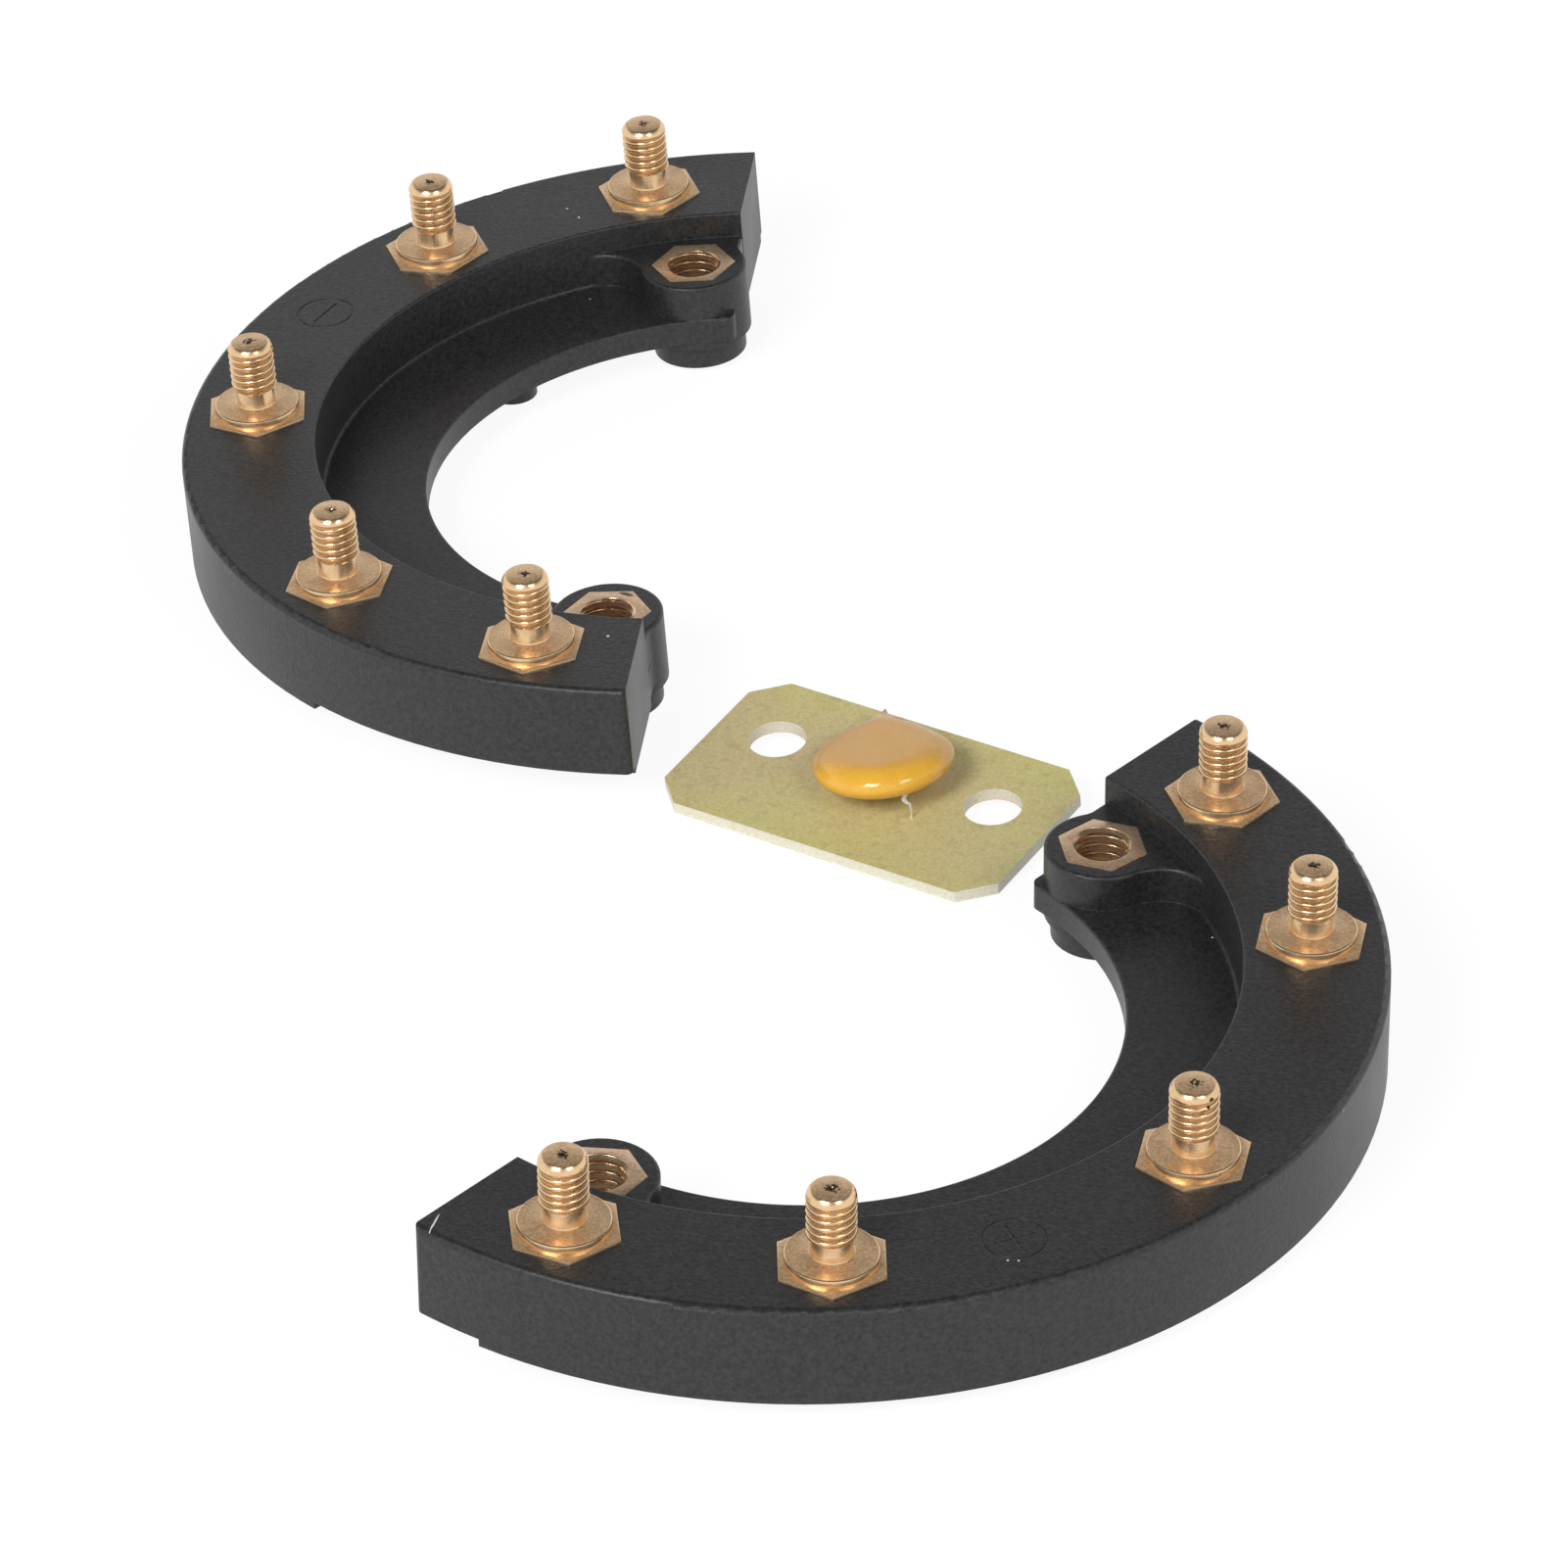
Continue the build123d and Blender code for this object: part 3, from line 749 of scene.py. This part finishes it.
def make_laminate():
    """Olive-yellow glass-epoxy sheet, clouded and speckled, with a painted green glow near its long edges,
    its cut edges whitish and layered.
    """
    made, tree, shader = material("glass_epoxy", Specular_IOR_Level=0.5)
    space = object_space(tree)
    grain = use(tree, GRAIN, {"Vector": space, "Grain per metre": 2200.0, "Mottle per metre": 80.0})
    clouds = use(tree, GRAIN, {"Vector": space, "Grain per metre": 600.0, "Mottle per metre": 40.0})
    face = blend_colour(tree, grain["Mottle"], (0.51, 0.375, 0.20, 1), (0.59, 0.46, 0.215, 1))
    olive = math_node(tree, "MULTIPLY", clouds["Mottle"], 0.55)
    face = blend_colour(tree, olive, face, (0.50, 0.475, 0.125, 1))
    own = node(
        tree,
        "ShaderNodeMapping",
        {
            "Vector": space,
            "Location": Vector(BOARD_AT) * MM,
            "Rotation": (math.radians(BOARD_TILT), 0, math.radians(BOARD_TURN)),
            "Scale": (1, BOARD_WIDTH / 2 * MM, 1),
        },
        vector_type="TEXTURE",
    )
    across = node(tree, "ShaderNodeSeparateXYZ", {"Vector": own.outputs[0]}).outputs
    # Towards its long edges the sheet is painted greener: a painted glow of light coming through the laminate
    # there.
    rim = math_node(tree, "ABSOLUTE", across["Y"])
    rim = math_node(tree, "ADD", rim, math_node(tree, "MULTIPLY", clouds["Mottle"], 0.3))
    face = blend_colour(tree, spread(tree, rim, 0.72, 1.22, 0.0, 0.5), face, (0.53, 0.50, 0.11, 1))
    face = blend_colour(tree, math_node(tree, "MULTIPLY", grain["Grain"], 0.5), face, (0.76, 0.70, 0.42, 1))
    dark = spread(tree, clouds["Grain"], 0.42, 0.0, 0.0, 0.26)
    face = blend_colour(tree, dark, face, (0.26, 0.21, 0.09, 1))
    parts = node(tree, "ShaderNodeSeparateXYZ", {"Vector": space})
    layers = node(
        tree,
        "ShaderNodeTexNoise",
        {"W": parts.outputs["Z"], "Scale": 4200.0, "Detail": 2.0},
        noise_dimensions="1D",
    )
    fibres = math_node(tree, "MULTIPLY_ADD", layers.outputs["Fac"], 0.6)
    tree.links.new(math_node(tree, "MULTIPLY", grain["Grain"], 0.4), fibres.node.inputs[2])
    edge = blend_colour(tree, fibres, (0.55, 0.50, 0.35, 1), (0.89, 0.86, 0.73, 1))
    colour = blend_colour(tree, spread(tree, facing_up(tree), 0.5, 0.8), edge, face)
    tree.links.new(colour, shader.inputs["Base Color"])
    tree.links.new(spread(tree, grain["Grain"], 0.0, 1.0, 0.36, 0.52), shader.inputs["Roughness"])
    bump(tree, shader, grain["Grain"], 0.014)
    return made


def make_coat():
    """Ochre dipped coating: glossy yellow-orange where it faces the front, duller with a painted tan sheen on
    top, brown where it dripped.
    """
    made, tree, shader = material("ochre_coat", Specular_IOR_Level=0.5)
    space = object_space(tree)
    grain = use(tree, GRAIN, {"Vector": space, "Grain per metre": 2000.0, "Mottle per metre": 260.0})
    # The tan top colour is a painted sheen; the yellow-orange rim colour is the coat's own.
    top = blend_colour(tree, grain["Mottle"], (0.64, 0.345, 0.078, 1), (0.70, 0.385, 0.10, 1))
    rim = blend_colour(tree, grain["Mottle"], (0.78, 0.40, 0.035, 1), (0.84, 0.46, 0.055, 1))
    normal = node(tree, "ShaderNodeNewGeometry").outputs["Normal"]
    # Faces turned to the front keep the coat's yellow; faces turned away are painted with the tan sheen.
    lean = node(tree, "ShaderNodeVectorMath", {0: normal, 1: COAT_FRONT_WITHOUT_PAINTED_SHEEN}, operation="DOT_PRODUCT")
    front_without_painted_sheen = spread(tree, lean.outputs["Value"], 0.34, 0.56)
    colour = blend_colour(tree, front_without_painted_sheen, top, rim)
    speckle = math_node(tree, "MULTIPLY", grain["Grain"], 0.16)
    colour = blend_colour(tree, speckle, colour, (0.36, 0.22, 0.05, 1))
    colour = add_marks(tree, space, colour, COAT_MARKS, DRIP_COLOUR)
    tree.links.new(colour, shader.inputs["Base Color"])
    tree.links.new(spread(tree, front_without_painted_sheen, 0.0, 1.0, 0.30, 0.13), shader.inputs["Roughness"])
    bump(tree, shader, grain["Mottle"], 0.02, 0.4)
    return made


def make_tin():
    """Tinned wire and solder."""
    made, tree, shader = material("tin", Metallic=0.4)
    space = object_space(tree)
    grain = use(tree, GRAIN, {"Vector": space, "Grain per metre": 6000.0, "Mottle per metre": 900.0})
    colour = blend_colour(tree, grain["Mottle"], (0.60, 0.60, 0.58, 1), (0.78, 0.78, 0.76, 1))
    colour = add_marks(tree, space, colour, FLUX_MARKS, FLUX_COLOUR)
    tree.links.new(colour, shader.inputs["Base Color"])
    tree.links.new(spread(tree, grain["Grain"], 0.0, 1.0, 0.22, 0.40), shader.inputs["Roughness"])
    bump(tree, shader, grain["Grain"], 0.008)
    return made


def make_plain_metal(name, low, high, rough_low, rough_high):
    """Rolled sheet metal with faint stains."""
    made, tree, shader = material(name, Metallic=1.0)
    space = object_space(tree)
    grain = use(tree, GRAIN, {"Vector": space, "Grain per metre": 4000.0, "Mottle per metre": 300.0})
    tree.links.new(blend_colour(tree, grain["Mottle"], low, high), shader.inputs["Base Color"])
    tree.links.new(spread(tree, grain["Grain"], 0.0, 1.0, rough_low, rough_high), shader.inputs["Roughness"])
    bump(tree, shader, grain["Grain"], 0.006)
    return made


def make_resin():
    """Dark casting resin, cured with a slightly wavy skin and a few bubbles."""
    made, tree, shader = material("casting_resin", Specular_IOR_Level=0.5)
    space = object_space(tree)
    grain = use(tree, GRAIN, {"Vector": space, "Grain per metre": 1500.0, "Mottle per metre": 110.0})
    colour = blend_colour(tree, grain["Mottle"], (0.016, 0.014, 0.012, 1), (0.034, 0.029, 0.024, 1))
    bubbles = use(tree, SPECKS, {"Vector": space, "Cells per metre": 350.0, "Size": 0.22, "Share": 0.08})
    pale = math_node(tree, "MULTIPLY", bubbles["Mask"], 0.6)
    colour = blend_colour(tree, pale, colour, (0.08, 0.07, 0.06, 1))
    tree.links.new(colour, shader.inputs["Base Color"])
    tree.links.new(spread(tree, grain["Mottle"], 0.0, 1.0, 0.22, 0.36), shader.inputs["Roughness"])
    bump(tree, shader, grain["Mottle"], 0.15, 0.5)
    return made


FINISHES = {
    "moulding": make_moulding(),
    "stud_brass": make_brass(
        "stud_brass",
        (0.74, 0.50, 0.27, 1),
        (0.85, 0.61, 0.37, 1),
        (0.54, 0.345, 0.18, 1),
        (0.84, 0.59, 0.35, 1),
        STUD_MARKS,
        True,
    ),
    "insert_brass": make_brass(
        "insert_brass",
        (0.65, 0.45, 0.27, 1),
        (0.77, 0.56, 0.36, 1),
        (0.54, 0.36, 0.215, 1),
        (0.80, 0.575, 0.38, 1),
        INSERT_MARKS,
        False,
    ),
    "board": make_laminate(),
    "varistor_coat": make_coat(),
    "tin": make_tin(),
    "resin": make_resin(),
    "copper": make_plain_metal("copper", (0.70, 0.34, 0.22, 1), (0.83, 0.45, 0.31, 1), 0.28, 0.42),
    "track": make_plain_metal("track_copper", (0.66, 0.36, 0.22, 1), (0.80, 0.50, 0.34, 1), 0.30, 0.46),
    "silicon": make_plain_metal("silicon", (0.20, 0.21, 0.23, 1), (0.30, 0.31, 0.33, 1), 0.16, 0.26),
}


def finish_node(name, slot):
    """Gives a CAD node its finish."""
    piece = nodes[name]
    if not piece.material_slots:
        piece.data.materials.append(FINISHES[slot])
    for place in piece.material_slots:
        place.material = FINISHES[slot]


for sign in HALVES:
    finish_node(f"{sign}_housing", "moulding")
    finish_node(f"{sign}_potting", "resin")
    finish_node(f"{sign}_collector_bar", "copper")
    for number in (1, 2, 3):
        finish_node(f"{sign}_die_{number}", "silicon")
        finish_node(f"{sign}_strap_{number}", "copper")
finish_node("suppressor_board", "board")
finish_node("varistor", "varistor_coat")
for number in (1, 2):
    finish_node(f"varistor_lead_{number}", "tin")
    finish_node(f"solder_joint_{number}", "tin")
    finish_node(f"copper_track_{number}", "track")


# Studs and inserts

def make_stud_model(with_spigot):
    """A terminal stud: hexagon, shoulder, plain neck and a wound thread under a domed end."""
    body = hexagon("stud", HEX_FLATS, STUD_FOOT, HEX_TOP, HEX_EASE)
    profile = [(SHOULDER_R, HEX_TOP - SHOULDER_SINK)]
    profile += [(SHOULDER_R - inside, SHOULDER_TOP - below) for inside, below in SHOULDER_EASE]
    profile += [(SHANK_R + outside, SHOULDER_TOP + above) for outside, above in NECK_FILLET]
    profile += [(SHANK_R, THREAD_START), (STUD_ROOT_R, THREAD_START + RUN_OUT)]
    profile += [(STUD_ROOT_R, STUD_END - DOME_START)]
    profile += [(STUD_THREAD_R - inside, STUD_END - below) for inside, below in END_DOME]
    profile += [(radius, STUD_END - deep) for radius, deep in CENTRE_PIT]
    core = turned("core", profile)
    ridge = coil(
        "ridge",
        STUD_ROOT_R - RIDGE_BURY,
        STUD_THREAD_R,
        STUD_RIDGE_FOOT,
        STUD_RIDGE_CREST,
        STUD_PITCH,
        THREAD_START + RIDGE_SHIFT,
        STUD_END - RIDGE_END,
    )
    blank = turned("blank", STUD_BLANK)
    combine(ridge, blank, "INTERSECT")
    combine(core, ridge, "UNION")
    combine(body, core, "UNION")
    assert len(body.data.vertices) > THREADED_POINTS, "the thread has dropped out of the stud"
    if with_spigot:
        spigot = turned("spigot", [(SPIGOT_R, BAR_TOP), (SPIGOT_R, STUD_FOOT + SPIGOT_SINK)])
        combine(body, spigot, "UNION")
    smooth(body)
    keep_local(body)
    return body


def make_insert_model():
    """A hexagon insert with a tapped bore, open at both ends."""
    body = hexagon("insert", INSERT_FLATS, -BOSS_DROP, BOSS_TOP, INSERT_EASE)
    mouth = INSERT_MOUTH - INSERT_BORE
    drill = turned(
        "drill",
        [
            (INSERT_MOUTH + 0.1, -BOSS_DROP - 0.1),
            (INSERT_BORE, -BOSS_DROP + mouth),
            (INSERT_BORE, BOSS_TOP - mouth),
            (INSERT_MOUTH + 0.1, BOSS_TOP + 0.1),
        ],
    )
    tap = coil(
        "tap",
        INSERT_BORE - INSERT_RIDGE_BURY,
        INSERT_THREAD_R,
        INSERT_RIDGE_FOOT,
        INSERT_RIDGE_CREST,
        INSERT_PITCH,
        -BOSS_DROP,
        BOSS_TOP,
    )
    combine(drill, tap, "UNION")
    combine(body, drill, "DIFFERENCE")
    smooth(body)
    keep_local(body)
    return body


stud_model = make_stud_model(False)
end_stud_model = make_stud_model(True)
insert_model = make_insert_model()
for sign, (centre, turn, hex_turns, insert_turns) in HALVES.items():
    seat = half_seat(centre, turn)
    for number, (angle, hex_turn) in enumerate(zip(STUD_ANGLES, hex_turns), 1):
        model = end_stud_model if number in (1, len(STUD_ANGLES)) else stud_model
        name = f"{sign}_stud_{number}"
        at = on_seat(seat, STUD_CIRCLE, angle, hex_turn)
        place_copy(model, name + "_turned", at, name, "stud_brass")
    for number, (side, hex_turn) in enumerate(zip((-1, 1), insert_turns), 1):
        name = f"{sign}_insert_{number}"
        at = on_seat(seat, BOSS_CIRCLE, side * BOSS_ANGLE, hex_turn)
        place_copy(insert_model, name + "_tapped", at, name, "insert_brass")
for model in (stud_model, end_stud_model, insert_model):
    bpy.data.objects.remove(model)


# Varistor and the lead in view

def turns(x, y, z):
    """Turned about its own X, then its new Y, then its new Z."""
    made = Matrix.Rotation(math.radians(x), 4, "X") @ Matrix.Rotation(math.radians(y), 4, "Y")
    return made @ Matrix.Rotation(math.radians(z), 4, "Z")


BOARD_SEAT = Matrix.Translation(Vector(BOARD_AT) * MM) @ turns(0, 0, BOARD_TURN) @ turns(BOARD_TILT, 0, 0)
DISC_SEAT = BOARD_SEAT @ Matrix.Translation(Vector(VARISTOR_AT) * MM) @ turns(*VARISTOR_TURNS)


def make_disc_model():
    """The dipped disc: a lens drawn out to a tip on one side, with a soft ridge to it."""
    reach = VARISTOR_R - CROWN_R
    bow = [math.radians(a) for a in BOW_ANGLES]
    section = [(CROWN_R + reach * math.cos(a), VARISTOR_HALF * math.sin(a)) for a in bow]
    disc = turned("disc", [(DISC_FOOT_R, -VARISTOR_HALF)] + section + CROWN_RINGS, DISC_STEPS)
    for place, size, move, falloff in DISC_PULLS:
        pull(disc, place, size, move, falloff)
    smooth(disc, 60)
    return disc


def make_lead_model():
    """The lead in view: a stub under the board, a thin straight run, and a curl under the disc."""
    x, y = LEAD_PLACE
    top = BOARD_THICK
    path = [(x, y, -LEAD_STUB, LEAD_R)]
    path += [(x + aside, y + away, top + height, radius) for aside, away, height, radius in LEAD_BENDS]
    lead = wire("lead", path)
    smooth(lead, 50)
    return lead


for model, seat, name, slot in (
    (make_disc_model(), DISC_SEAT, "varistor", "varistor_coat"),
    (make_lead_model(), BOARD_SEAT, "varistor_lead_2", "tin"),
):
    place_copy(model, name + "_formed", seat, name, slot)
    bpy.data.objects.remove(model)


# Stage

def make_floor():
    """A wide pale floor; what the camera and reflections see of it is close to white."""
    bpy.ops.object.select_all(action="DESELECT")
    bpy.ops.mesh.primitive_plane_add(size=FLOOR_SIZE, location=(0, 0, 0))
    floor = bpy.context.object
    floor.name = "floor"
    made = bpy.data.materials.new("pale_floor")
    made.use_nodes = True
    tree = made.node_tree
    tree.nodes.clear()
    light = node(tree, "ShaderNodeLightPath").outputs
    seen = math_node(tree, "MAXIMUM", light["Is Camera Ray"], light["Is Glossy Ray"])
    seen = math_node(tree, "MAXIMUM", seen, light["Is Transmission Ray"])
    paper = node(tree, "ShaderNodeBsdfDiffuse", {"Color": FLOOR_COLOUR})
    glow = node(tree, "ShaderNodeEmission", {"Color": (1, 1, 1, 1), "Strength": FLOOR_GLOW})
    share = math_node(tree, "MULTIPLY", seen, FLOOR_GLOW_SHARE)
    mix = node(tree, "ShaderNodeMixShader", {0: share, 1: paper.outputs[0], 2: glow.outputs[0]})
    node(tree, "ShaderNodeOutputMaterial", {"Surface": mix.outputs[0]})
    floor.data.materials.append(made)


def make_world():
    """A pale room: bright round the horizon, dimmer overhead."""
    world = bpy.data.worlds.new("room")
    bpy.context.scene.world = world
    world.use_nodes = True
    tree = world.node_tree
    direction = node(tree, "ShaderNodeTexCoord").outputs["Generated"]
    parts = node(tree, "ShaderNodeSeparateXYZ", {"Vector": direction})
    dim = spread(tree, parts.outputs["Z"], 0.40, 0.68)
    colour = blend_colour(tree, dim, ROOM_LOW, ROOM_HIGH)
    background = tree.nodes["Background"]
    tree.links.new(colour, background.inputs["Color"])
    background.inputs["Strength"].default_value = 1.0


def lamp(name, place, size, power):
    """A soft square lamp aimed at the middle of the set."""
    data = bpy.data.lights.new(name, "AREA")
    data.shape = "SQUARE"
    data.size = size
    data.energy = power
    made = bpy.data.objects.new(name, data)
    bpy.context.scene.collection.objects.link(made)
    made.location = place
    made.rotation_euler = (Vector((0, 0, 0)) - Vector(place)).to_track_quat("-Z", "Y").to_euler()


def make_camera():
    """The camera that the set is seen from."""
    data = bpy.data.cameras.new("camera")
    data.lens = CAMERA_LENS
    data.sensor_width = 36
    data.clip_start = 0.01
    data.clip_end = 100
    camera = bpy.data.objects.new("camera", data)
    bpy.context.scene.collection.objects.link(camera)
    place = Vector(CAMERA_PLACE) * MM
    back = (place - Vector(CAMERA_AIM) * MM).normalized()
    right = Vector(CAMERA_RIGHT)
    up = back.cross(right).normalized()
    right = up.cross(back).normalized()
    camera.matrix_world = Matrix.Translation(place) @ Matrix((right, up, back)).transposed().to_4x4()
    bpy.context.scene.camera = camera


make_floor()
make_world()
for lamp_name, lamp_place, lamp_size, lamp_power in LAMPS:
    lamp(lamp_name, lamp_place, lamp_size, lamp_power)
make_camera()
bpy.context.scene.view_settings.view_transform = "Standard"
